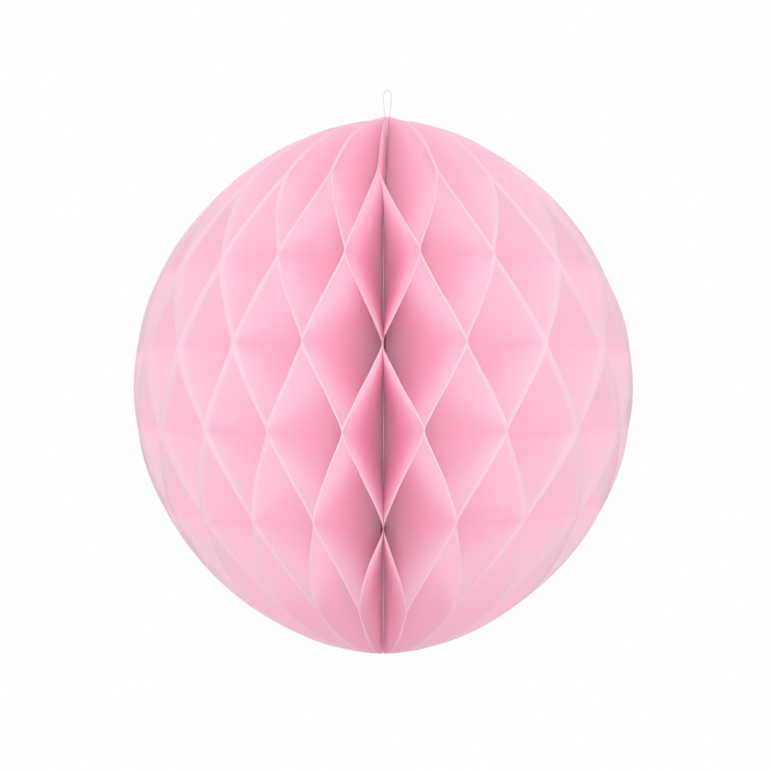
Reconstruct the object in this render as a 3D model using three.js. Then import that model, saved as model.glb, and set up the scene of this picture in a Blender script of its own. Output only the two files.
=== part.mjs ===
// Honeycomb paper ball: half-disc tissue leaves bound along their straight edge, glued to each other on
// alternate lines, fanned all the way round into a ball and hung by a thread loop.
// Millimetres, +Z up. The origin is the middle of the ball, and the front of the ball faces -Y.
import * as THREE from 'three';

// Ball and leaves
const BALL_HEIGHT = 200; // pole to pole: the length of a leaf's bound edge
const LEAF_REACH = 93.7; // from the ball's axis to a leaf's rim at its widest
const CELL_COUNT = 20; // cells round the ball, each between two glued pairs of leaves
const LEAF_THICKNESS = 0.2;
const LEAF_CLEARANCE = 0.2; // between neighbouring glued pairs at the bound edge
const LEAF_TIP = 1.2; // width of a leaf's end beside the binding, at a pole

// Glue lines, measured along the bound edge
const GLUE_LINE_PITCH = 31.4;
const TOP_GLUE_LINE = 24.2; // first glue line, below the top end of the edge
const LOWEST_GLUE_LINE = 12; // no glue line comes nearer than this to the bottom end of the edge
const GLUE_FILM = 0.15; // between two leaves where they are glued

// Form of the opened cells
const FOLD_SHARPNESS = 0.99; // 1 is a sharp zigzag and 0 a plain wave
const POLE_SPREAD = 0.6; // how far a glued pair parts again between its last glue line and the pole

// How unevenly the ball was fanned open by hand, in degrees round the axis
const FAN_TURN = 3.8;
const FAN_ONCE = 2.5; // shift that comes once round the ball
const FAN_ONCE_FROM = 222;
const FAN_TWICE = 3.3; // shift that comes twice round the ball
const FAN_TWICE_FROM = 213;

// Spine binding
const SEAT_GAP = 0.3; // between pieces that sit against each other
const BINDING_RECESS = 3; // from a pole down to the end of the binding
const BINDING_SIDES = 24;

// Hanging thread
const THREAD_DIAMETER = 0.5;
const THREAD_SIDES = 8;
const THREAD_STEPS = 40;
// Route of the loop as X and Z from the top pole, up one leg, over the top and down the other
const THREAD_ROUTE = [
  [-0.85, -1.5],
  [-0.86, 0],
  [-0.92, 2],
  [-1.0, 4],
  [-1.09, 6],
  [-1.19, 8],
  [-1.3, 10],
  [-1.4, 11.8],
  [-1.36, 13.2],
  [-0.86, 14.4],
  [0.1, 14.9],
  [1.06, 14.4],
  [1.56, 13.2],
  [1.6, 11.8],
  [1.5, 10],
  [1.37, 8],
  [1.25, 6],
  [1.13, 4],
  [1.03, 2],
  [0.95, 0],
  [0.93, -1.5],
];

// Mesh fineness of a leaf
const PANEL_STEPS = 4; // between two glue lines
const POLE_STEPS = 5; // between the last glue line and a pole
const LOWER_SIDE = 3; // place of the -Y side among a box geometry's six sides

const halfHeight = BALL_HEIGHT / 2;
const leafCount = 2 * CELL_COUNT;
const leafAngle = (2 * Math.PI) / leafCount;
const fanOnce = THREE.MathUtils.degToRad(FAN_ONCE);
const fanTwice = THREE.MathUtils.degToRad(FAN_TWICE);
// The closest that the uneven fan brings two leaves, as a share of their even spacing
const closestFan = 1 - fanOnce - 2 * fanTwice;
const pairRoom = 2 * LEAF_THICKNESS + GLUE_FILM + LEAF_CLEARANCE;
const innerEdge = pairRoom / (2 * leafAngle * closestFan);

const glueLines = [];
for (
  let height = halfHeight - TOP_GLUE_LINE;
  height > LOWEST_GLUE_LINE - halfHeight;
  height -= GLUE_LINE_PITCH
) {
  glueLines.push(height);
}

const tissuePaper = new THREE.MeshStandardMaterial({ color: 0xfdb9d3, roughness: 0.9, metalness: 0 });
const boundPaper = new THREE.MeshStandardMaterial({ color: 0xe39ab5, roughness: 0.95, metalness: 0 });
const cottonThread = new THREE.MeshStandardMaterial({ color: 0xece9e6, roughness: 0.85, metalness: 0 });

// Distance of a leaf's rim from the axis, at a height on the bound edge: a half ellipse
function rimReach(height) {
  return LEAF_REACH * Math.sqrt(1 - (height / halfHeight) ** 2);
}

// Height on the bound edge at which the rim comes within a given distance of the axis
function heightAtReach(reach) {
  return halfHeight * Math.sqrt(1 - (reach / LEAF_REACH) ** 2);
}

// Opening the cells draws the glue lines together, more so further from the axis: paper that runs
// sideways from line to line can't also keep its full height.
function drawnHeight(height, radius) {
  const slant = (radius * leafAngle) / GLUE_LINE_PITCH;
  return height * Math.sqrt(1 - slant ** 2);
}

// Azimuth from the front, towards +X, of the seam that two neighbouring leaves share
function seamAzimuth(seam) {
  const even = seam * leafAngle + THREE.MathUtils.degToRad(FAN_TURN);
  const once = fanOnce * Math.sin(even + THREE.MathUtils.degToRad(FAN_ONCE_FROM));
  const twice = fanTwice * Math.sin(2 * even + THREE.MathUtils.degToRad(FAN_TWICE_FROM));
  return even + once + twice;
}

// Zigzag of a leaf, from 1 on the first, third and fifth glue line to -1 on the lines between.
// Above the first line and below the last one a glued pair parts again towards the pole.
function zigzag(height) {
  const first = glueLines[0];
  const last = glueLines[glueLines.length - 1];
  const pole = heightAtReach(innerEdge + LEAF_TIP);
  if (height >= first) {
    return 1 - POLE_SPREAD * ((height - first) / (pole - first)) ** 2;
  }
  if (height <= last) {
    const side = glueLines.length % 2 === 1 ? 1 : -1;
    return side * (1 - POLE_SPREAD * ((last - height) / (last + pole)) ** 2);
  }
  const turn = (Math.PI * (first - height)) / GLUE_LINE_PITCH;
  return Math.asin(FOLD_SHARPNESS * Math.cos(turn)) / Math.asin(FOLD_SHARPNESS);
}

// Heights on the bound edge at which a leaf has a row of corners, from the bottom pole to the top one
function leafStations() {
  const pole = Math.asin(heightAtReach(innerEdge + LEAF_TIP) / halfHeight);
  const first = Math.asin(glueLines[0] / halfHeight);
  const last = Math.asin(glueLines[glueLines.length - 1] / halfHeight);
  const stations = [];
  for (let step = 0; step < POLE_STEPS; step += 1) {
    stations.push(halfHeight * Math.sin(THREE.MathUtils.lerp(-pole, last, step / POLE_STEPS)));
  }
  for (let line = glueLines.length - 1; line > 0; line -= 1) {
    for (let step = 0; step < PANEL_STEPS; step += 1) {
      stations.push(THREE.MathUtils.lerp(glueLines[line], glueLines[line - 1], step / PANEL_STEPS));
    }
  }
  for (let step = 0; step <= POLE_STEPS; step += 1) {
    stations.push(halfHeight * Math.sin(THREE.MathUtils.lerp(first, pole, step / POLE_STEPS)));
  }
  return stations;
}

// A box has its upper and lower side split into triangles along diagonals that cross. Here the lower side
// is split along the other diagonal, so that both sides of a bent leaf lie one paper thickness apart.
function matchLowerSide(geometry) {
  const { start, count } = geometry.groups[LOWER_SIDE];
  const corners = geometry.index;
  for (let first = start; first < start + count; first += 6) {
    const a = corners.getX(first);
    const b = corners.getX(first + 1);
    const c = corners.getX(first + 4);
    const d = corners.getX(first + 5);
    [a, b, c, a, c, d].forEach((corner, place) => corners.setX(first + place, corner));
  }
}

// A leaf is a box, one step wide and one thick, that is bent into a zigzag half-disc: its width runs from
// the bound edge to the rim, its height is the paper's thickness and its depth runs up the bound edge.
function leaf(index, stations) {
  const steps = stations.length - 1;
  const geometry = new THREE.BoxGeometry(1, 1, 1, 1, 1, steps);
  matchLowerSide(geometry);
  const before = seamAzimuth(index);
  const after = seamAzimuth(index + 1);
  const swingWay = index % 2 === 0 ? -1 : 1;
  const corners = geometry.attributes.position;
  for (let corner = 0; corner < corners.count; corner += 1) {
    const across = corners.getX(corner) + 0.5;
    const face = corners.getY(corner);
    const height = stations[Math.round((corners.getZ(corner) + 0.5) * steps)];
    const swing = swingWay * zigzag(height);
    const azimuth = THREE.MathUtils.lerp(before, after, (1 + swing) / 2);
    const radius = THREE.MathUtils.lerp(innerEdge, rimReach(height), across);
    const sideways = face * LEAF_THICKNESS - (swing * (LEAF_THICKNESS + GLUE_FILM)) / 2;
    corners.setXYZ(
      corner,
      radius * Math.sin(azimuth) + sideways * Math.cos(azimuth),
      -radius * Math.cos(azimuth) + sideways * Math.sin(azimuth),
      drawnHeight(height, radius),
    );
  }
  geometry.computeVertexNormals();
  const mesh = new THREE.Mesh(geometry, tissuePaper);
  mesh.name = `leaf_${String(index + 1).padStart(2, '0')}`;
  return mesh;
}

// The bound edges of all the leaves, rolled up round the axis
function spineBinding() {
  const radius = innerEdge - SEAT_GAP;
  const length = BALL_HEIGHT - 2 * BINDING_RECESS;
  const mesh = new THREE.Mesh(new THREE.CylinderGeometry(radius, radius, length, BINDING_SIDES), boundPaper);
  mesh.rotation.x = Math.PI / 2;
  mesh.name = 'spine_binding';
  return mesh;
}

// A loop of thread whose two ends are held in the top of the binding
function hangingThread() {
  const seat = SEAT_GAP - BINDING_RECESS;
  const start = THREAD_ROUTE[0];
  const end = THREAD_ROUTE[THREAD_ROUTE.length - 1];
  const route = [[start[0], seat], ...THREAD_ROUTE, [end[0], seat]];
  const path = new THREE.CatmullRomCurve3(route.map(([x, z]) => new THREE.Vector3(x, 0, z)));
  const section = new THREE.Shape();
  for (let side = 0; side < THREAD_SIDES; side += 1) {
    const angle = (2 * Math.PI * side) / THREAD_SIDES;
    const x = (THREAD_DIAMETER / 2) * Math.cos(angle);
    const y = (THREAD_DIAMETER / 2) * Math.sin(angle);
    if (side === 0) {
      section.moveTo(x, y);
    } else {
      section.lineTo(x, y);
    }
  }
  const geometry = new THREE.ExtrudeGeometry(section, {
    steps: THREAD_STEPS,
    bevelEnabled: false,
    extrudePath: path,
  });
  const mesh = new THREE.Mesh(geometry, cottonThread);
  mesh.position.z = halfHeight;
  mesh.name = 'hanging_thread';
  return mesh;
}

const ball = new THREE.Group();
const stations = leafStations();
for (let index = 0; index < leafCount; index += 1) {
  ball.add(leaf(index, stations));
}
ball.add(spineBinding());
ball.add(hangingThread());

export default ball;
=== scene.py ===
"""Looks of a honeycomb paper ball: glued tissue leaves, their stitched binding and a thread loop.

Lengths are in metres. +Z runs up the ball's axis to the loop, and the front of the ball faces -Y.
"""
import logging
import math
from collections.abc import Mapping
from dataclasses import dataclass
from enum import Enum

import bpy
import numpy as np
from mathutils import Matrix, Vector


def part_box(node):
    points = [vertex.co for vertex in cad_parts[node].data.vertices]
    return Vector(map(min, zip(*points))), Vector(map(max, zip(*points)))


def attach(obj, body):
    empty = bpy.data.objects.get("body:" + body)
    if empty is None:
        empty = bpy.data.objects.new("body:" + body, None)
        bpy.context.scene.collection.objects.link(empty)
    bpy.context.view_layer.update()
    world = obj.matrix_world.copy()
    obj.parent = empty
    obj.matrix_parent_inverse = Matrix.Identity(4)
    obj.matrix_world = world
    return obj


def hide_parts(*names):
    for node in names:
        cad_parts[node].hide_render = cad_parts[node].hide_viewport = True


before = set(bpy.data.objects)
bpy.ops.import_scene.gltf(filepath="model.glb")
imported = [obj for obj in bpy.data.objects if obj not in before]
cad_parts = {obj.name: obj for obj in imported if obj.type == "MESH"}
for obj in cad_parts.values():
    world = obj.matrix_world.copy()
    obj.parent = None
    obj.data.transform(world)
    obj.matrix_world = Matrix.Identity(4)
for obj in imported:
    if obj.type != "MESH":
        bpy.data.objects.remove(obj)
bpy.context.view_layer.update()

MM = 0.001
BODY = "root"
LEAF_MAP = "leaf_map"
THREAD_MAP = "thread_map"
SPINE_MAP = "spine_map"
MAP_UNIT = 100 * MM  # length that one unit of a surface map stands for
LEAF_STRIDE = 8.0  # map units from one leaf's place in the map to the next
FULL_TURN = 2 * math.pi

Colour = tuple[float, float, float, float]
Place = tuple[float, float, float]
Span = tuple[float, float]

log = logging.getLogger("paper_ball")


class Slot(Enum):
    """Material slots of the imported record."""

    TISSUE = "tissue_paper"
    BOUND = "bound_paper"
    THREAD = "cotton_thread"


class Cap(Enum):
    """How the two ends of a swept solid are closed."""

    STRIP = "a strip between the two flat sides"
    DISC = "one flat face"


class NodeSketch:
    """Adds nodes to one node tree and joins them."""

    def __init__(self, tree: bpy.types.NodeTree) -> None:
        """Keep the tree that the nodes go into."""
        self.tree = tree

    def add(
        self, kind: str, inputs: Mapping[str | int, object] | None = None, **settings: object
    ) -> bpy.types.Node:
        """Add one node, set it up and fill its inputs.

        Args:
            kind: Blender's type name of the node.
            inputs: for each input, the output socket that feeds it or its plain value.
            settings: properties of the node itself.

        Returns:
            The new node.
        """
        node = self.tree.nodes.new(kind)
        for name, value in settings.items():
            setattr(node, name, value)
        for name, value in (inputs or {}).items():
            if isinstance(value, bpy.types.NodeSocket):
                self.tree.links.new(value, node.inputs[name])
            else:
                node.inputs[name].default_value = value
        return node

    def math(self, operation: str, *values: object) -> bpy.types.NodeSocket:
        """Add a Math node on the given values and return its result."""
        return self.add("ShaderNodeMath", dict(enumerate(values)), operation=operation).outputs[0]

    def ramp(self, value: bpy.types.NodeSocket, given: Span, wanted: Span) -> bpy.types.NodeSocket:
        """Add a smooth map of value from the given span to the wanted one and return its result."""
        node = self.add(
            "ShaderNodeMapRange",
            {"Value": value, 1: given[0], 2: given[1], 3: wanted[0], 4: wanted[1]},
            interpolation_type="SMOOTHSTEP",
        )
        return node.outputs["Result"]

    def blend(self, factor: object, first: object, second: object) -> bpy.types.NodeSocket:
        """Add a colour mix from first to second and return its colour."""
        node = self.add("ShaderNodeMix", {0: factor, 6: first, 7: second}, data_type="RGBA")
        return node.outputs[2]

    def noise(
        self, place: bpy.types.NodeSocket, scale: object, detail: float
    ) -> bpy.types.NodeSocket:
        """Add noise on a place and return its value."""
        node = self.add("ShaderNodeTexNoise", {"Vector": place, "Scale": scale, "Detail": detail})
        return node.outputs[0]

    def stretch(self, place: bpy.types.NodeSocket, factors: Place) -> bpy.types.NodeSocket:
        """Multiply a place by one factor for each axis and return the result."""
        node = self.add("ShaderNodeVectorMath", {0: place, 1: factors}, operation="MULTIPLY")
        return node.outputs[0]

    def bump(self, height: bpy.types.NodeSocket, relief: float) -> bpy.types.NodeSocket:
        """Add relief of the given depth on a height from 0 to 1 and return the normal."""
        node = self.add("ShaderNodeBump", {"Height": height, "Strength": 1.0, "Distance": relief})
        return node.outputs[0]


@dataclass(frozen=True)
class FibreSizes:
    """Sizes of the patterns in one paper."""

    cloud: float
    fibre: float
    crinkle: float


class PaperFibre:
    """Node group for the fibres of paper: cloudy thickness, crossed fibres and crinkles."""

    NAME = "paper_fibre"
    SCALES = ("Cloud Scale", "Fibre Scale", "Crinkle Scale")
    RESULTS = ("Cloud", "Fibre", "Relief")
    FIBRE_STRETCH = 7.0
    CLOUD_DETAIL = 2.0
    FINE_DETAIL = 1.0

    @classmethod
    def tree(cls) -> bpy.types.NodeTree:
        """Return the group, built on first use.

        The clouds and the crinkles are noise at their own scales. The fibres are the mean of two
        noises that are stretched across each other. The relief is that of the crinkles.

        Returns:
            The node group with inputs Vector, Cloud Scale, Fibre Scale and Crinkle Scale and with
            outputs Cloud, Fibre and Relief, each from 0 to 1.
        """
        if cls.NAME in bpy.data.node_groups:
            return bpy.data.node_groups[cls.NAME]
        tree = bpy.data.node_groups.new(cls.NAME, "ShaderNodeTree")
        tree.interface.new_socket("Vector", in_out="INPUT", socket_type="NodeSocketVector")
        for name in cls.SCALES:
            tree.interface.new_socket(name, in_out="INPUT", socket_type="NodeSocketFloat")
        for name in cls.RESULTS:
            tree.interface.new_socket(name, in_out="OUTPUT", socket_type="NodeSocketFloat")
        sketch = NodeSketch(tree)
        given = sketch.add("NodeGroupInput").outputs
        place = given["Vector"]
        cloud = sketch.noise(place, given["Cloud Scale"], cls.CLOUD_DETAIL)
        laid = [
            sketch.noise(sketch.stretch(place, factors), given["Fibre Scale"], cls.FINE_DETAIL)
            for factors in ((cls.FIBRE_STRETCH, 1.0, 1.0), (1.0, cls.FIBRE_STRETCH, 1.0))
        ]
        fibre = sketch.math("MULTIPLY", sketch.math("ADD", *laid), 0.5)
        crinkle = sketch.noise(place, given["Crinkle Scale"], cls.FINE_DETAIL)
        sketch.add("NodeGroupOutput", dict(zip(cls.RESULTS, (cloud, fibre, crinkle))))
        return tree

    @classmethod
    def lay(
        cls, sketch: NodeSketch, place: bpy.types.NodeSocket, sizes: FibreSizes, unit: float
    ) -> bpy.types.bpy_prop_collection:
        """Put the group into a material.

        Args:
            sketch: the material's tree.
            place: where on the paper each point lies.
            sizes: sizes of the paper's patterns.
            unit: length that one unit of the place stands for.

        Returns:
            The group's outputs.
        """
        scales = (unit / sizes.cloud, unit / sizes.fibre, unit / sizes.crinkle)
        inputs = {"Vector": place, **dict(zip(cls.SCALES, scales))}
        return sketch.add("ShaderNodeGroup", inputs, node_tree=cls.tree()).outputs


def new_material(name: str) -> tuple[bpy.types.Material, NodeSketch]:
    """Make an empty node material and return it with a sketch of its tree."""
    material = bpy.data.materials.new(name)
    material.use_nodes = True
    material.node_tree.nodes.clear()
    return material, NodeSketch(material.node_tree)


@dataclass(frozen=True)
class GlueLines:
    """Lines on which the leaves are glued to each other, from the top one down."""

    first: float = 75.8 * MM
    pitch: float = 31.4 * MM
    count: int = 6

    def heights(self) -> np.ndarray:
        """Height of each line on the bound edge."""
        return self.first - self.pitch * np.arange(self.count)


@dataclass(frozen=True)
class TissuePaper:
    """Thin pink tissue: matt, lets light through, with cloudy fibres, faint glue stripes and painted
    shade near the rim.
    """

    thin: Colour = (0.997, 0.778, 0.876, 1.0)
    dense: Colour = (0.995, 0.758, 0.861, 1.0)
    glued: Colour = (0.993, 0.748, 0.851, 1.0)
    # Painted shade: a deeper pink near each leaf's rim, which damps the light that falls most there
    rim: Colour = (0.997, 0.745, 0.853, 1.0)
    rim_painted_shade_fade: float = 15.0 * MM
    let_through: float = 0.82
    lines: GlueLines = GlueLines()
    stripe: float = 1.5 * MM
    stripe_blur: float = 0.4  # share of the stripe's half width, on each side of its edge
    stripe_strength: float = 0.6
    sizes: FibreSizes = FibreSizes(cloud=5.0 * MM, fibre=2.4 * MM, crinkle=14.0 * MM)
    cloud_span: Span = (0.3, 0.7)
    cloud_strength: float = 0.7
    fibre_span: Span = (0.35, 0.65)
    fibre_strength: float = 0.3
    rough_span: Span = (0.3, 0.7)
    roughness: Span = (0.84, 0.94)
    gloss: float = 0.12
    relief: float = 0.10 * MM

    def stripes(self, sketch: NodeSketch, height: bpy.types.NodeSocket) -> bpy.types.NodeSocket:
        """Mask of the glue stripes.

        Counted in glue lines from the first one, a height is within a stripe where it lies less
        than half a stripe from a whole number and that line exists.

        Args:
            sketch: the material's tree.
            height: height on the bound edge in map units.

        Returns:
            A value of 1 in a stripe and 0 between stripes.
        """
        top = self.lines.first / MAP_UNIT
        pitch = self.lines.pitch / MAP_UNIT
        count = sketch.math("DIVIDE", sketch.math("SUBTRACT", top, height), pitch)
        off = sketch.math("ABSOLUTE", sketch.math("SUBTRACT", count, sketch.math("ROUND", count)))
        half = 0.5 * self.stripe / self.lines.pitch
        edge = ((1 - self.stripe_blur) * half, (1 + self.stripe_blur) * half)
        near = sketch.ramp(off, edge, (1.0, 0.0))
        above = sketch.math("GREATER_THAN", count, -0.5)
        below = sketch.math("LESS_THAN", count, self.lines.count - 0.5)
        return sketch.math("MULTIPLY", near, sketch.math("MULTIPLY", above, below))

    def build(self) -> bpy.types.Material:
        """Return the tissue material, which reads the leaves' own map."""
        material, sketch = new_material("tissue_paper")
        place = sketch.add("ShaderNodeUVMap", uv_map=LEAF_MAP).outputs[0]
        paper = PaperFibre.lay(sketch, place, self.sizes, MAP_UNIT)
        split = sketch.add("ShaderNodeSeparateXYZ", {0: place})
        depth = sketch.math("MODULO", split.outputs["X"], LEAF_STRIDE)
        clouds = sketch.ramp(paper["Cloud"], self.cloud_span, (0.0, self.cloud_strength))
        fibres = sketch.ramp(paper["Fibre"], self.fibre_span, (0.0, self.fibre_strength))
        sheet = sketch.blend(sketch.math("ADD", clouds, fibres), self.thin, self.dense)
        # Painted shade: the colour turns to the deeper rim pink towards the rim, fading out inward
        # from it
        near = sketch.ramp(depth, (0.0, self.rim_painted_shade_fade / MAP_UNIT), (1.0, 0.0))
        with_painted_rim_shade = sketch.blend(near, sheet, self.rim)
        stripes = self.stripes(sketch, split.outputs["Y"])
        soaked = sketch.math("MULTIPLY", stripes, self.stripe_strength)
        colour = sketch.blend(soaked, with_painted_rim_shade, self.glued)
        normal = sketch.bump(paper["Relief"], self.relief)
        face = sketch.add(
            "ShaderNodeBsdfPrincipled",
            {
                "Base Color": colour,
                "Roughness": sketch.ramp(paper["Fibre"], self.rough_span, self.roughness),
                "Normal": normal,
                "Specular IOR Level": self.gloss,
            },
        )
        through = sketch.add("ShaderNodeBsdfTranslucent", {"Color": colour, "Normal": normal})
        both = sketch.add(
            "ShaderNodeMixShader", {0: self.let_through, 1: face.outputs[0], 2: through.outputs[0]}
        )
        sketch.add("ShaderNodeOutputMaterial", {"Surface": both.outputs[0]})
        return material


@dataclass(frozen=True)
class BoundPaper:
    """Pressed and glued paper edges of the binding."""

    edge: Colour = (0.80, 0.30, 0.38, 1.0)
    glue: Colour = (0.72, 0.24, 0.31, 1.0)
    sizes: FibreSizes = FibreSizes(cloud=3.0 * MM, fibre=0.8 * MM, crinkle=1.5 * MM)
    soaked_span: Span = (0.4, 0.65)
    roughness: Span = (0.95, 0.7)
    gloss: float = 0.2
    relief: float = 0.05 * MM

    def build(self) -> bpy.types.Material:
        """Return the bound paper material, which reads object coordinates."""
        material, sketch = new_material("bound_paper")
        place = sketch.add("ShaderNodeTexCoord").outputs["Object"]
        paper = PaperFibre.lay(sketch, place, self.sizes, 1.0)
        soaked = sketch.ramp(paper["Cloud"], self.soaked_span, (0.0, 1.0))
        face = sketch.add(
            "ShaderNodeBsdfPrincipled",
            {
                "Base Color": sketch.blend(soaked, self.edge, self.glue),
                "Roughness": sketch.ramp(soaked, (0.0, 1.0), self.roughness),
                "Normal": sketch.bump(paper["Relief"], self.relief),
                "Specular IOR Level": self.gloss,
            },
        )
        sketch.add("ShaderNodeOutputMaterial", {"Surface": face.outputs[0]})
        return material


@dataclass(frozen=True)
class CottonThread:
    """Pale cotton thread with fine fibres along its plies."""

    light: Colour = (0.50, 0.49, 0.48, 1.0)
    shade: Colour = (0.36, 0.35, 0.34, 1.0)
    fibres_along: float = 40.0
    fibres_round: float = 9.0
    fibre_detail: float = 3.0
    fibre_span: Span = (0.3, 0.7)
    roughness: Span = (0.75, 0.9)
    gloss: float = 0.25
    fuzz: float = 0.2
    relief: float = 0.02 * MM

    def build(self) -> bpy.types.Material:
        """Return the thread material, which reads the thread's own map."""
        material, sketch = new_material("cotton_thread")
        place = sketch.add("ShaderNodeUVMap", uv_map=THREAD_MAP).outputs[0]
        drawn = sketch.stretch(place, (self.fibres_along, self.fibres_round, 1.0))
        fibre = sketch.noise(drawn, 1.0, self.fibre_detail)
        shaded = sketch.ramp(fibre, self.fibre_span, (0.0, 1.0))
        face = sketch.add(
            "ShaderNodeBsdfPrincipled",
            {
                "Base Color": sketch.blend(shaded, self.light, self.shade),
                "Roughness": sketch.ramp(fibre, self.fibre_span, self.roughness),
                "Normal": sketch.bump(fibre, self.relief),
                "Specular IOR Level": self.gloss,
                "Sheen Weight": self.fuzz,
            },
        )
        sketch.add("ShaderNodeOutputMaterial", {"Surface": face.outputs[0]})
        return material


def crowded(share: np.ndarray, amount: float) -> np.ndarray:
    """Move shares of a stretch towards both its ends, by t - amount sin(2 pi t) / (2 pi)."""
    return share - amount * np.sin(FULL_TURN * share) / FULL_TURN


def swept_solid(
    name: str,
    rings: np.ndarray,
    cap: Cap,
    flat_columns: tuple[int, ...],
    map_name: str,
    places: np.ndarray,
) -> bpy.types.Mesh:
    """Make a closed mesh from loops of points that follow each other along a path.

    Point (i, j) is column j of loop i. Each face joins (i, j), (i, j + 1), (i + 1, j + 1) and
    (i + 1, j), and the last column joins the first. The two end loops are closed by the cap. With
    a strip, the two flat sides take the same diagonal, so that they never cross. All faces are
    turned if they enclose a negative volume.

    Args:
        name: name of the mesh.
        rings: points, as loops by columns by three.
        cap: how the ends are closed.
        flat_columns: columns whose faces are shaded flat, as cut edges are.
        map_name: name of the surface map.
        places: map coordinates, as loops by columns by two.

    Returns:
        The mesh, with outward faces and one surface map.
    """
    loops, columns = rings.shape[:2]
    index = np.arange(loops * columns).reshape(loops, columns)
    after = np.roll(index, -1, axis=1)
    sides = np.stack([index[:-1], after[:-1], after[1:], index[1:]], axis=-1)
    smooth = np.ones(sides.shape[:2], bool)
    smooth[:, list(flat_columns)] = False
    if cap is Cap.STRIP:
        half = columns // 2
        back_sides = np.roll(sides[:, half:], 1, axis=-1)
        faces = [np.concatenate([sides[:, :half], back_sides], axis=1).reshape(-1, 4)]
        for end, step in ((index[0], -1), (index[-1], 1)):
            there = end[:half]
            back = end[half:][::-1]
            strip = np.stack([there[:-1], there[1:], back[1:], back[:-1]], axis=-1)
            faces.append(strip[:, ::step])
    else:
        faces = [sides.reshape(-1, 4), index[0][None, ::-1], index[-1][None]]
    points = rings.reshape(-1, 3)
    quads = points[faces[0]]
    volume = np.einsum("ij,ij->", quads[:, 0], np.cross(quads[:, 1], quads[:, 2]))
    volume += np.einsum("ij,ij->", quads[:, 0], np.cross(quads[:, 2], quads[:, 3]))
    if volume < 0:
        faces = [part[:, ::-1] for part in faces]
    corners = np.concatenate([part.ravel() for part in faces]).astype(np.int32)
    sizes = np.concatenate([np.full(len(part), part.shape[1]) for part in faces]).astype(np.int32)
    starts = np.concatenate([[0], np.cumsum(sizes)[:-1]]).astype(np.int32)
    shaded = np.zeros(len(sizes), bool)
    shaded[: smooth.size] = smooth.ravel()
    mesh = bpy.data.meshes.new(name)
    mesh.vertices.add(len(points))
    mesh.vertices.foreach_set("co", points.astype(np.float32).ravel())
    mesh.loops.add(len(corners))
    mesh.loops.foreach_set("vertex_index", corners)
    mesh.polygons.add(len(sizes))
    mesh.polygons.foreach_set("loop_start", starts)
    mesh.polygons.foreach_set("use_smooth", shaded)
    mesh.update(calc_edges=True)
    layer = mesh.uv_layers.new(name=map_name)
    layer.uv.foreach_set("vector", places.reshape(-1, 2)[corners].astype(np.float32).ravel())
    mesh.validate()
    return mesh


def add_piece(
    name: str, mesh: bpy.types.Mesh, material: bpy.types.Material, node: str
) -> bpy.types.Object:
    """Show a mesh in place of a solid.

    Args:
        name: name of the piece.
        mesh: its mesh, in place.
        material: its finish.
        node: the solid that it stands for.

    Returns:
        The new piece.
    """
    piece = bpy.data.objects.new(name, mesh)
    bpy.context.scene.collection.objects.link(piece)
    mesh.materials.append(material)
    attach(piece, BODY)
    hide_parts(node)
    return piece


@dataclass(frozen=True)
class Fan:
    """How the leaves stand round the axis, as azimuths from the front towards +X."""

    leaf_count: int
    turn: float = math.radians(3.8)
    once: float = math.radians(2.5)
    once_from: float = math.radians(222)
    twice: float = math.radians(3.3)
    twice_from: float = math.radians(213)

    @property
    def leaf_angle(self) -> float:
        """Even spacing of the leaves."""
        return FULL_TURN / self.leaf_count

    def seam(self, number: np.ndarray | int) -> np.ndarray:
        """Azimuth of a seam between two leaves.

        It is the even azimuth plus one sine that comes once round the ball and one that comes
        twice, as a ball that was opened by hand has.

        Args:
            number: seam number, counted round from the front.

        Returns:
            The azimuth in radians.
        """
        even = np.asarray(number) * self.leaf_angle + self.turn
        return (
            even
            + self.once * np.sin(even + self.once_from)
            + self.twice * np.sin(2 * even + self.twice_from)
        )

    def middle(self, index: int) -> float:
        """Azimuth halfway between the seams on a leaf's two sides."""
        return 0.5 * (self.seam(index) + self.seam(index + 1))


@dataclass(frozen=True)
class Lean:
    """How the top of the ball leans to the right of its axis."""

    shift: float = 1.45 * MM
    start: float = 55 * MM
    end: float = 101 * MM

    def share(self, height: np.ndarray) -> np.ndarray:
        """Square of the way from start to end, from 0 to 1."""
        return np.clip((height - self.start) / (self.end - self.start), 0, 1) ** 2

    def at(self, height: np.ndarray) -> np.ndarray:
        """Sideways shift, which grows with that share."""
        return self.shift * self.share(height)


@dataclass(frozen=True)
class LeafOutline:
    """Cut outline of a flat leaf over its straight, bound edge."""

    top: float = 101.2 * MM
    bottom: float = 100 * MM
    reach: float = 93.7 * MM
    fullness: float = 0.016
    point: float = 0.08
    point_power: int = 12
    tip: float = 0.4 * MM

    def half(self, height: np.ndarray) -> np.ndarray:
        """Height of the pole on each point's own side of the middle."""
        return np.where(np.asarray(height) > 0, self.top, self.bottom)

    def rim(self, height: np.ndarray) -> np.ndarray:
        """Distance of the rim from the axis.

        It is a half ellipse over the bound edge, a little fuller halfway to the poles and more
        pointed at them. With t the share of the way to the pole and n the point's power, it is
        reach sqrt(1 - t^2) (1 + 4 fullness t^2 (1 - t^2) - point t^n).

        Args:
            height: heights on the bound edge.

        Returns:
            The distance for each height.
        """
        share = np.abs(height) / self.half(height)
        ellipse = self.reach * np.sqrt(1 - share**2)
        fuller = 4 * self.fullness * share**2 * (1 - share**2)
        return ellipse * (1 + fuller - self.point * share**self.point_power)

    def pole(self, edge: float, half: float) -> float:
        """Height where a leaf ends, one tip's width outside its bound edge."""
        return half * math.sqrt(1 - ((edge + self.tip) / (self.reach * (1 - self.point))) ** 2)


@dataclass(frozen=True)
class ClosingPair:
    """The pair of leaves at the front that closes the ball: it sags, and stays shut at the top."""

    sag: float = 1.6 * MM
    full_sag: float = 0.5  # share of the way down the glue lines from which the pair sags fully
    lean: float = 1.0 * MM
    lean_pivot: float = 0.35  # share of the way down the glue lines where the pair stands upright
    twist: float = math.radians(1.2)
    spread: float = 0.1


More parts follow.
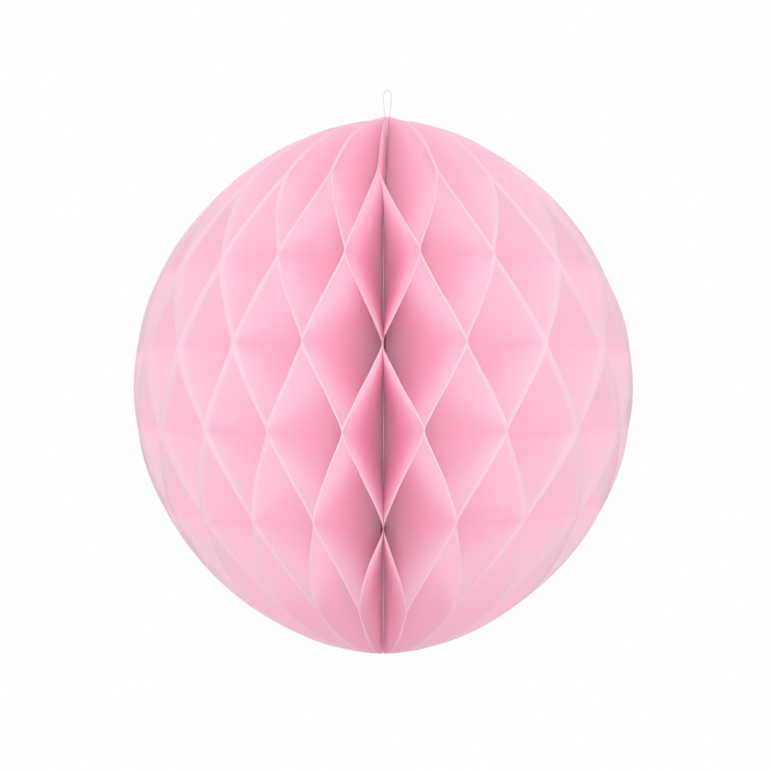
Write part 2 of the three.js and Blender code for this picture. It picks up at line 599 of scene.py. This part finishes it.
@dataclass(frozen=True)
class RimFlare:
    """How the rims of a glued pair part beside and above the first glue line."""

    width: float = 0.25 * MM
    depth: float = 3.0 * MM
    run: float = 3.0 * MM
    full_radius: float = 45.0 * MM

    def at(self, inside: np.ndarray, below: np.ndarray, rim: np.ndarray) -> np.ndarray:
        """Shift of each point away from the seam.

        The pair is glued a little way in from the rim, so its cut edges curl apart: by a parabola
        over the flare's depth, at full width above the line and fading out below it.

        Args:
            inside: distances inside the rim, as rows by columns.
            below: distances below the first glue line, by rows.
            rim: distance of the rim from the axis, by rows.

        Returns:
            The shifts, as rows by columns.
        """
        curl = np.clip(1 - inside / self.depth, 0, 1) ** 2
        fade = np.clip(1 - below / self.run, 0, 1) ** 2 * np.clip(rim / self.full_radius, 0, 1)
        return self.width * curl * fade[:, None]


@dataclass(frozen=True)
class HandWork:
    """Small unevenness of paper that was cut, glued and opened by hand."""

    node_turn: float = math.radians(0.22)
    node_shift: float = 0.35 * MM
    bow: float = 0.22 * MM
    bow_limit: float = 1.6
    ripple: float = 0.07 * MM
    ripple_waves: Span = (1.5, 3.0)
    rim_power: int = 4
    cut: float = 0.12 * MM
    cut_waves: int = 9


@dataclass
class LeafStack:
    """The tissue leaves, each zigzagging between the glue lines that it shares with its neighbours."""

    fan: Fan
    lines: GlueLines = GlueLines()
    outline: LeafOutline = LeafOutline()
    lean: Lean = Lean()
    pair: ClosingPair = ClosingPair()
    flare: RimFlare = RimFlare()
    hand: HandWork = HandWork()
    thickness: float = 0.02 * MM
    glue_film: float = 0.03 * MM
    inner_edge: float = 0.8 * MM
    thread_room: float = 1.35 * MM
    thread_depth: float = 1.5 * MM
    thread_side: Span = (0.92, 0.96)  # sines of the azimuths where room begins and where it is full
    fold_inside: float = math.radians(30)
    fold_at_rim: float = math.radians(80)
    fold_growth: float = 2.0
    pole_spread: float = 0.35
    peak: float = 3.7 * MM
    foot: float = 1.0 * MM
    foot_power: int = 8
    peak_radius: float = 18.0 * MM
    panel_steps: int = 24
    panel_crowding: float = 0.7
    pole_steps: int = 22
    across_steps: int = 18
    across_crowding: float = 0.35
    seed: int = 41

    def __post_init__(self) -> None:
        """Draw the unevenness that neighbouring leaves share, and set out the stations."""
        self.draw = np.random.default_rng(self.seed)
        nodes = (self.fan.leaf_count, self.lines.count)
        self.node_azimuth = self.draw.uniform(-1, 1, nodes) * self.hand.node_turn
        self.node_height = self.draw.uniform(-1, 1, nodes) * self.hand.node_shift
        along = np.arange(self.lines.count) / (self.lines.count - 1)
        pair = self.pair
        self.node_azimuth[0] = pair.lean / self.outline.reach * (along - pair.lean_pivot)
        self.node_azimuth[0, 0] -= pair.twist
        self.node_height[0] = -pair.sag * np.minimum(1, along / pair.full_sag)
        self.panel, self.step, self.height = self.stations()

    def closing(self, index: int) -> bool:
        """Whether a leaf is one of the pair that closes the ball."""
        return index in (0, self.fan.leaf_count - 1)

    def bound_edge(self, index: int) -> np.ndarray:
        """Distance of a leaf's bound edge from the axis.

        Leaves that stand to the left and right leave room for the thread's two legs at the top.
        The room begins two thread depths below the top and is full one depth below it.

        Args:
            index: number of the leaf, from 0.

        Returns:
            The distance for each row.
        """
        into = (self.height - self.outline.top + 2 * self.thread_depth) / self.thread_depth
        start, full = self.thread_side
        beside = (abs(math.sin(self.fan.middle(index))) - start) / (full - start)
        room = (self.thread_room - self.inner_edge) * np.clip(into, 0, 1) * np.clip(beside, 0, 1)
        return self.inner_edge + room

    def stations(self) -> tuple[np.ndarray, np.ndarray, np.ndarray]:
        """Set out the rows of a leaf from the top pole to the bottom one.

        Panel 0 lies between the top pole and the first glue line and the last panel between the
        last line and the bottom pole. Between glue lines the rows crowd towards the lines. Towards
        a pole they are even along the rim's arc.

        Returns:
            Each row's panel, its share of that panel and its height on the bound edge.
        """
        lines = self.lines.heights()
        outline = self.outline
        even = np.arange(self.pole_steps) / self.pole_steps
        top_pole = outline.pole(self.thread_room, outline.top)
        bottom_pole = outline.pole(self.inner_edge, outline.bottom)
        upper = np.arcsin(np.array([top_pole, lines[0]]) / outline.top)
        lower = np.arcsin(np.array([lines[-1], -bottom_pole]) / outline.bottom)
        top = outline.top * np.sin(upper[0] + (upper[1] - upper[0]) * even)
        bottom = outline.bottom * np.sin(lower[0] + (lower[1] - lower[0]) * np.append(even, 1.0))
        share = crowded(np.arange(self.panel_steps) / self.panel_steps, self.panel_crowding)
        middle = (lines[:-1, None] - self.lines.pitch * share).ravel()
        panels = self.lines.count - 1
        panel = np.concatenate(
            [
                np.zeros(len(top), int),
                np.repeat(np.arange(1, panels + 1), self.panel_steps),
                np.full(len(bottom), panels + 1),
            ]
        )
        step = np.concatenate(
            [
                (top[0] - top) / (top[0] - lines[0]),
                np.tile(share, panels),
                (lines[-1] - bottom) / (lines[-1] - bottom[-1]),
            ]
        )
        return panel, step, np.concatenate([top, middle, bottom])

    def knots(self, index: int) -> tuple[np.ndarray, np.ndarray, np.ndarray]:
        """Where a leaf is held: at the top pole, on each glue line and at the bottom pole.

        Args:
            index: number of the leaf, from 0.

        Returns:
            Azimuth, lift above the even height and side of the leaf's wedge, from -1 to 1.
        """
        line = np.arange(self.lines.count)
        ahead = (index + line) % 2
        seam = index + ahead
        ring = seam % self.fan.leaf_count
        azimuth = self.fan.seam(seam) + self.node_azimuth[ring, line]
        lift = self.node_height[ring, line]
        side = 2.0 * ahead - 1.0
        ends = [0, -1]
        top_spread = self.pair.spread if self.closing(index) else self.pole_spread
        spread = np.array([top_spread, self.pole_spread])
        pole_azimuth = azimuth[ends] + (self.fan.middle(index) - azimuth[ends]) * spread
        pole_side = side[ends] * (1 - spread)
        return (
            np.concatenate([pole_azimuth[:1], azimuth, pole_azimuth[1:]]),
            np.concatenate([[0.0], lift, [0.0]]),
            np.concatenate([pole_side[:1], side, pole_side[1:]]),
        )

    def progress(self, share: np.ndarray) -> np.ndarray:
        """How far each point has gone from the knot above it to the knot below it.

        Between glue lines it is 1/2 - asin(sin b cos(pi t)) / (2 b), a zigzag that is sharper the
        nearer b comes to a right angle. The fold is rounded inside and sharp at the rim. Towards a
        pole it is a parabola that leaves the glue line without a bend.

        Args:
            share: share of the way from the bound edge to the rim, by columns.

        Returns:
            The progress from 0 to 1, as rows by columns.
        """
        grown = share[None, :] ** self.fold_growth
        fold = self.fold_inside + (self.fold_at_rim - self.fold_inside) * grown
        step = self.step[:, None]
        folded = 0.5 - np.arcsin(np.sin(fold) * np.cos(np.pi * step)) / (2 * fold)
        top = (self.panel == 0)[:, None]
        bottom = (self.panel == self.lines.count)[:, None]
        return np.where(top, 1 - (1 - step) ** 2, np.where(bottom, step**2, folded))

    def cut_rim(self) -> np.ndarray:
        """Distance of one leaf's rim from the axis, with the wander of its cut.

        The cut only goes inside the outline, by the size of a sum of sine waves whose heights are
        random, over the root of their number. It fades out towards the poles as the outline does.

        Returns:
            The distance for each row.
        """
        wander = self.draw.normal(0, 1, self.hand.cut_waves)
        turns = np.arange(1, len(wander) + 1)[:, None]
        along = self.height / self.outline.half(self.height)
        waves = (wander[:, None] * np.sin(np.pi * turns * (along + 1) / 2)).sum(0)
        inward = self.hand.cut * np.abs(waves) / math.sqrt(len(wander))
        return self.outline.rim(self.height) - inward * np.sqrt(1 - along**2)

    def unevenness(self, share: np.ndarray) -> np.ndarray:
        """Sideways wander of one leaf between its glue lines.

        Each panel bows by a random amount, as sin(pi t) squared, and ripples along its height.
        Both grow towards the rim with a power of the share of the way across.

        Args:
            share: share of the way from the bound edge to the rim, by columns.

        Returns:
            Sideways shifts, as rows by columns.
        """
        hand = self.hand
        panels = self.lines.count + 1
        bow = self.draw.normal(0, 1, panels).clip(-hand.bow_limit, hand.bow_limit) * hand.bow
        waves = self.draw.uniform(*hand.ripple_waves, panels)
        phase = self.draw.uniform(0, FULL_TURN, panels)
        held = np.sin(np.pi * self.step) ** 2
        turns = FULL_TURN * waves[self.panel] * self.step + phase[self.panel]
        inner = (self.panel > 0) & (self.panel < self.lines.count)
        along = held * (bow[self.panel] * inner + hand.ripple * np.sin(turns))
        return along[:, None] * share[None, :] ** hand.rim_power

    def drawn_height(self, height: np.ndarray, radius: np.ndarray) -> np.ndarray:
        """Height of each point once the cells are open.

        Opening the cells draws a height h in to h sqrt(1 - (r leaf_angle / pitch)^2), because paper
        that runs sideways between two glue lines can't keep its full height. The thread draws the
        paper round the top of the axis up, by peak (1 - r / peak_radius)^2 times the lean's share,
        and at the bottom it stands out by foot (1 - r / peak_radius)^2 t^n, with t the share of the
        way to the pole and n the foot's power.

        Args:
            height: heights on the flat leaf, as rows by columns.
            radius: distances from the axis, as rows by columns.

        Returns:
            The heights in the open ball.
        """
        drawn = height * np.sqrt(1 - (radius * self.fan.leaf_angle / self.lines.pitch) ** 2)
        near = np.clip(1 - radius / self.peak_radius, 0, 1) ** 2
        along = self.height / self.outline.half(self.height)
        low = np.clip(-along, 0, 1)[:, None] ** self.foot_power
        return drawn + near * (self.peak * self.lean.share(drawn) - self.foot * low)

    def rings(self, index: int) -> tuple[np.ndarray, np.ndarray]:
        """Work out one leaf as loops round its section.

        A loop runs out along one side from the bound edge to the rim and back along the other.
        A point at radius r, azimuth a and sideways s lies at (r sin a + s cos a, s sin a - r cos a),
        and the lean then shifts it to the right.

        Args:
            index: number of the leaf, from 0.

        Returns:
            Points as rows by columns by three, and map places as rows by columns by two.
        """
        share = crowded(np.linspace(0, 1, self.across_steps + 1), self.across_crowding)
        azimuth, lift, side = self.knots(index)
        rim = self.cut_rim()
        edge = self.bound_edge(index)[:, None]
        radius = edge + (rim[:, None] - edge) * share[None, :]
        gone = self.progress(share)
        before = self.panel
        after = self.panel + 1
        turn = azimuth[before][:, None] + (azimuth[after] - azimuth[before])[:, None] * gone
        swing = side[before][:, None] + (side[after] - side[before])[:, None] * gone
        raised = lift[before] + (lift[after] - lift[before]) * self.step
        height = self.height[:, None] + raised[:, None] * share[None, :]
        drawn = self.drawn_height(height, radius)
        inside = rim[:, None] - radius
        centre = -0.5 * swing * (self.thickness + self.glue_film) + self.unevenness(share)
        if not self.closing(index):
            centre = centre - swing * self.flare.at(inside, self.lines.first - self.height, rim)
        sides = []
        for face in (0.5, -0.5):
            off = centre + face * self.thickness
            right = radius * np.sin(turn) + off * np.cos(turn) + self.lean.at(drawn)
            back = off * np.sin(turn) - radius * np.cos(turn)
            sides.append(np.stack([right, back, drawn], axis=-1))
        across = inside / MAP_UNIT + LEAF_STRIDE * index
        place = np.stack([across, height / MAP_UNIT], axis=-1)
        return (
            np.concatenate([sides[0], sides[1][:, ::-1]], axis=1),
            np.concatenate([place, place[:, ::-1]], axis=1),
        )

    def build(self, material: bpy.types.Material) -> list[bpy.types.Object]:
        """Make every leaf and put it in place of its solid.

        Args:
            material: the tissue paper.

        Returns:
            The leaves, in order round the ball.
        """
        pieces = []
        cut_edges = (self.across_steps, 2 * self.across_steps + 1)
        for index in range(self.fan.leaf_count):
            number = f"{index + 1:02d}"
            rings, places = self.rings(index)
            name = f"tissue_leaf_{number}"
            mesh = swept_solid(name, rings, Cap.STRIP, cut_edges, LEAF_MAP, places)
            pieces.append(add_piece(mesh.name, mesh, material, f"leaf_{number}"))
        return pieces


@dataclass
class SpineBinding:
    """The bound straight edges of all the leaves, pressed together and stitched."""

    lean: Lean = Lean()
    stub: float = 3.2 * MM
    radius: float = 0.72 * MM
    edge_ridges: int = 40
    ridge: float = 0.03 * MM
    stitch_pitch: float = 6.0 * MM
    stitch_width: float = 0.5 * MM
    stitch_pull: float = 0.08 * MM
    rows: int = 260
    sides: int = 160

    def build(self, material: bpy.types.Material) -> bpy.types.Object:
        """Make the binding from the top of its solid to a stub below the bottom of it.

        At height z and angle a its radius is R + ridge cos(ridges a) less the pull of the stitches,
        which is a bell curve round each stitch.

        Args:
            material: the bound paper.

        Returns:
            The binding.
        """
        low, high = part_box("spine_binding")
        height = np.linspace(low.z - self.stub, high.z, self.rows)[:, None]
        angle = np.linspace(0, FULL_TURN, self.sides, endpoint=False)[None, :]
        count = height / self.stitch_pitch
        off = (count - np.round(count)) * self.stitch_pitch / self.stitch_width
        ridges = self.ridge * np.cos(self.edge_ridges * angle)
        radius = self.radius + ridges - self.stitch_pull * np.exp(-(off**2))
        level = np.broadcast_to(height, radius.shape)
        right = radius * np.sin(angle) + self.lean.at(height)
        rings = np.stack([right, -radius * np.cos(angle), level], axis=-1)
        places = np.stack([np.broadcast_to(angle / FULL_TURN, radius.shape), level], axis=-1)
        mesh = swept_solid("stitched_spine", rings, Cap.DISC, (), SPINE_MAP, places)
        return add_piece(mesh.name, mesh, material, "spine_binding")


@dataclass
class HangingThread:
    """A twisted thread whose two ends are held in the top of the binding."""

    lean: Lean = Lean()
    diameter: float = 0.5 * MM
    plies: int = 3
    groove: float = 0.16
    lay: float = 1.6 * MM
    # Route of the loop as X and Z in millimetres from the top pole, up one leg and down the other
    route: tuple[tuple[float, float], ...] = (
        (-0.32, -2.7),
        (-0.32, -1.5),
        (-0.33, 0),
        (-0.38, 2),
        (-0.72, 3.8),
        (-1.03, 6),
        (-1.19, 8),
        (-1.3, 10),
        (-1.4, 11.8),
        (-1.36, 13.2),
        (-0.86, 14.4),
        (0.1, 14.9),
        (1.06, 14.4),
        (1.56, 13.2),
        (1.6, 11.8),
        (1.5, 10),
        (1.37, 8),
        (1.2, 6),
        (0.78, 3.8),
        (0.4, 2),
        (0.35, 0),
        (0.34, -1.5),
        (0.34, -2.7),
    )
    pole: float = 100 * MM
    stretch_steps: int = 40
    spacing: float = 0.1 * MM
    sides: int = 24

    def centreline(self) -> np.ndarray:
        """Smooth curve through the route.

        Each stretch is a cubic whose slope at a point is half the way between its neighbours.

        Returns:
            Points along the curve, evenly spaced.
        """
        knots = np.array(self.route)
        held = np.concatenate([2 * knots[:1] - knots[1:2], knots, 2 * knots[-1:] - knots[-2:-1]])
        slope = 0.5 * (held[2:] - held[:-2])
        t = np.linspace(0, 1, self.stretch_steps, endpoint=False)[None, :, None]
        curve = (
            (2 * t**3 - 3 * t**2 + 1) * knots[:-1, None]
            + (t**3 - 2 * t**2 + t) * slope[:-1, None]
            + (3 * t**2 - 2 * t**3) * knots[1:, None]
            + (t**3 - t**2) * slope[1:, None]
        )
        flat = np.concatenate([curve.reshape(-1, 2), knots[-1:]]) * MM
        gone = np.concatenate([[0], np.cumsum(np.linalg.norm(np.diff(flat, axis=0), axis=1))])
        even = np.linspace(0, gone[-1], int(gone[-1] / self.spacing) + 1)
        x, z = (np.interp(even, gone, flat[:, axis]) for axis in (0, 1))
        height = z + self.pole
        return np.stack([x + self.lean.at(height), np.zeros_like(x), height], axis=-1)

    def build(self, material: bpy.types.Material) -> bpy.types.Object:
        """At angle a and length s the section's radius is R (1 - groove (1 - |cos(n (a - w) / 2)|)),
        with n plies and w = 2 pi s / lay, so each ply winds once round the thread in one lay.

        Args:
            material: the cotton.

        Returns:
            The thread.
        """
        path = self.centreline()
        along = np.gradient(path, axis=0)
        along /= np.linalg.norm(along, axis=1)[:, None]
        across = np.stack([along[:, 2], np.zeros(len(path)), -along[:, 0]], axis=-1)
        depth = np.array([0.0, 1.0, 0.0])
        length = np.arange(len(path))[:, None] * self.spacing
        angle = np.linspace(0, FULL_TURN, self.sides, endpoint=False)[None, :]
        wound = FULL_TURN * length / self.lay
        ply = np.abs(np.cos(0.5 * self.plies * (angle - wound)))
        radius = 0.5 * self.diameter * (1 - self.groove * (1 - ply))
        rings = (
            path[:, None]
            + (radius * np.cos(angle))[..., None] * across[:, None]
            + (radius * np.sin(angle))[..., None] * depth
        )
        run = np.broadcast_to(length / MAP_UNIT, radius.shape)
        places = np.stack([run, np.broadcast_to(angle / FULL_TURN, radius.shape)], axis=-1)
        mesh = swept_solid("thread_loop", rings, Cap.DISC, (), THREAD_MAP, places)
        piece = add_piece(mesh.name, mesh, material, "hanging_thread")
        return piece


@dataclass(frozen=True)
class Softbox:
    """A square soft light that faces the ball."""

    name: str
    place: Place
    size: float
    watts: float

    def hang(self) -> None:
        """Add the light to the scene."""
        data = bpy.data.lights.new(self.name, "AREA")
        data.shape = "SQUARE"
        data.size = self.size
        data.energy = self.watts
        light = bpy.data.objects.new(self.name, data)
        light.location = self.place
        light.rotation_euler = (-Vector(self.place)).to_track_quat("-Z", "Y").to_euler()
        bpy.context.scene.collection.objects.link(light)


@dataclass
class Studio:
    """Camera, soft light and pale floor."""

    eye: Place = (1.02 * MM, -450 * MM, -14.45 * MM)
    aim: Place = (1.02 * MM, 0.0, 0.55 * MM)
    lens: float = 54.8
    sensor: float = 36.0
    nearest: float = 10 * MM
    sky: float = 0.18
    ground: float = 0.0
    backdrop: float = 0.25
    softboxes: tuple[Softbox, ...] = (
        Softbox("top_softbox", (-0.1, -0.75, 1.0), size=0.9, watts=7.5),
        Softbox("camera_fill", (0.003, -1.3, -0.042), size=0.2, watts=16.0),
        Softbox("left_softbox", (-0.86, -0.95, 0.45), size=0.6, watts=6.5),
        Softbox("right_softbox", (0.86, -0.95, 0.45), size=0.6, watts=6.5),
        Softbox("back_softbox", (0.0, 1.3, 0.1), size=0.6, watts=24.0),
    )
    bounces: int = 24
    display_gamma: float = 1.8
    floor_height: float = -1.0
    floor_radius: float = 0.85
    floor_sides: int = 96
    floor_shade: Colour = (0.86, 0.86, 0.86, 1.0)
    floor_light: Colour = (0.90, 0.90, 0.90, 1.0)
    floor_grain: float = 6.0
    floor_detail: float = 2.0
    floor_roughness: float = 0.9

    def camera(self) -> None:
        """Add the camera at the viewing point and make it the scene's own."""
        data = bpy.data.cameras.new("camera")
        data.lens = self.lens
        data.sensor_width = self.sensor
        data.clip_start = self.nearest
        camera = bpy.data.objects.new("camera", data)
        camera.location = self.eye
        ahead = Vector(self.aim) - Vector(self.eye)
        camera.rotation_euler = ahead.to_track_quat("-Z", "Y").to_euler()
        bpy.context.scene.collection.objects.link(camera)
        bpy.context.scene.camera = camera

    def world(self) -> None:
        """Surround the ball with light, and show the camera plain white.

        The light grows from ground to sky with the height of its direction, and directions behind
        the ball add up to backdrop.
        """
        world = bpy.data.worlds.new("studio")
        world.use_nodes = True
        world.node_tree.nodes.clear()
        sketch = NodeSketch(world.node_tree)
        direction = sketch.add("ShaderNodeTexCoord").outputs["Generated"]
        way = sketch.add("ShaderNodeSeparateXYZ", {0: direction}).outputs
        height = sketch.ramp(way["Z"], (-1.0, 1.0), (self.ground, self.sky))
        behind = sketch.ramp(way["Y"], (0.0, 1.0), (0.0, self.backdrop))
        lit = sketch.math("ADD", height, behind)
        seen = sketch.add("ShaderNodeLightPath").outputs["Is Camera Ray"]
        shown = sketch.add("ShaderNodeMix", {0: seen, 2: lit, 3: 1.0}, data_type="FLOAT").outputs[0]
        light = sketch.add("ShaderNodeBackground", {"Color": (1.0, 1.0, 1.0, 1.0), "Strength": shown})
        sketch.add("ShaderNodeOutputWorld", {"Surface": light.outputs[0]})
        bpy.context.scene.world = world

    def floor(self) -> None:
        """Lay a pale round floor under the ball, out of the picture."""
        angle = np.linspace(0, FULL_TURN, self.floor_sides, endpoint=False)
        round_x = self.floor_radius * np.cos(angle)
        round_y = self.floor_radius * np.sin(angle)
        ring = np.stack([round_x, round_y, np.full_like(angle, self.floor_height)], axis=-1)
        mesh = bpy.data.meshes.new("floor")
        mesh.from_pydata(ring.tolist(), [], [list(range(self.floor_sides))])
        material, sketch = new_material("pale_floor")
        place = sketch.add("ShaderNodeTexCoord").outputs["Object"]
        grain = sketch.noise(place, self.floor_grain, self.floor_detail)
        face = sketch.add(
            "ShaderNodeBsdfPrincipled",
            {
                "Base Color": sketch.blend(grain, self.floor_shade, self.floor_light),
                "Roughness": self.floor_roughness,
            },
        )
        sketch.add("ShaderNodeOutputMaterial", {"Surface": face.outputs[0]})
        mesh.materials.append(material)
        floor = bpy.data.objects.new("floor", mesh)
        bpy.context.scene.collection.objects.link(floor)

    def light(self) -> None:
        """Set the light, how often it may bounce between the leaves, and how it is shown."""
        self.world()
        for softbox in self.softboxes:
            softbox.hang()
        self.floor()
        scene = bpy.context.scene
        scene.view_settings.view_transform = "Standard"
        scene.view_settings.gamma = self.display_gamma
        scene.cycles.max_bounces = self.bounces
        scene.cycles.diffuse_bounces = self.bounces
        scene.cycles.transmission_bounces = self.bounces


def main() -> None:
    """Build the ball in its studio and report each piece."""
    logging.basicConfig(level=logging.INFO, format="%(message)s")
    studio = Studio()
    studio.camera()
    thread = HangingThread().build(CottonThread().build())
    leaf_count = sum(name.startswith("leaf_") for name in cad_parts)
    leaves = LeafStack(Fan(leaf_count)).build(TissuePaper().build())
    spine = SpineBinding().build(BoundPaper().build())
    for piece in (thread, *leaves, spine):
        log.info("%s: %d faces", piece.name, len(piece.data.polygons))
    studio.light()


if __name__ == "__main__":
    main()
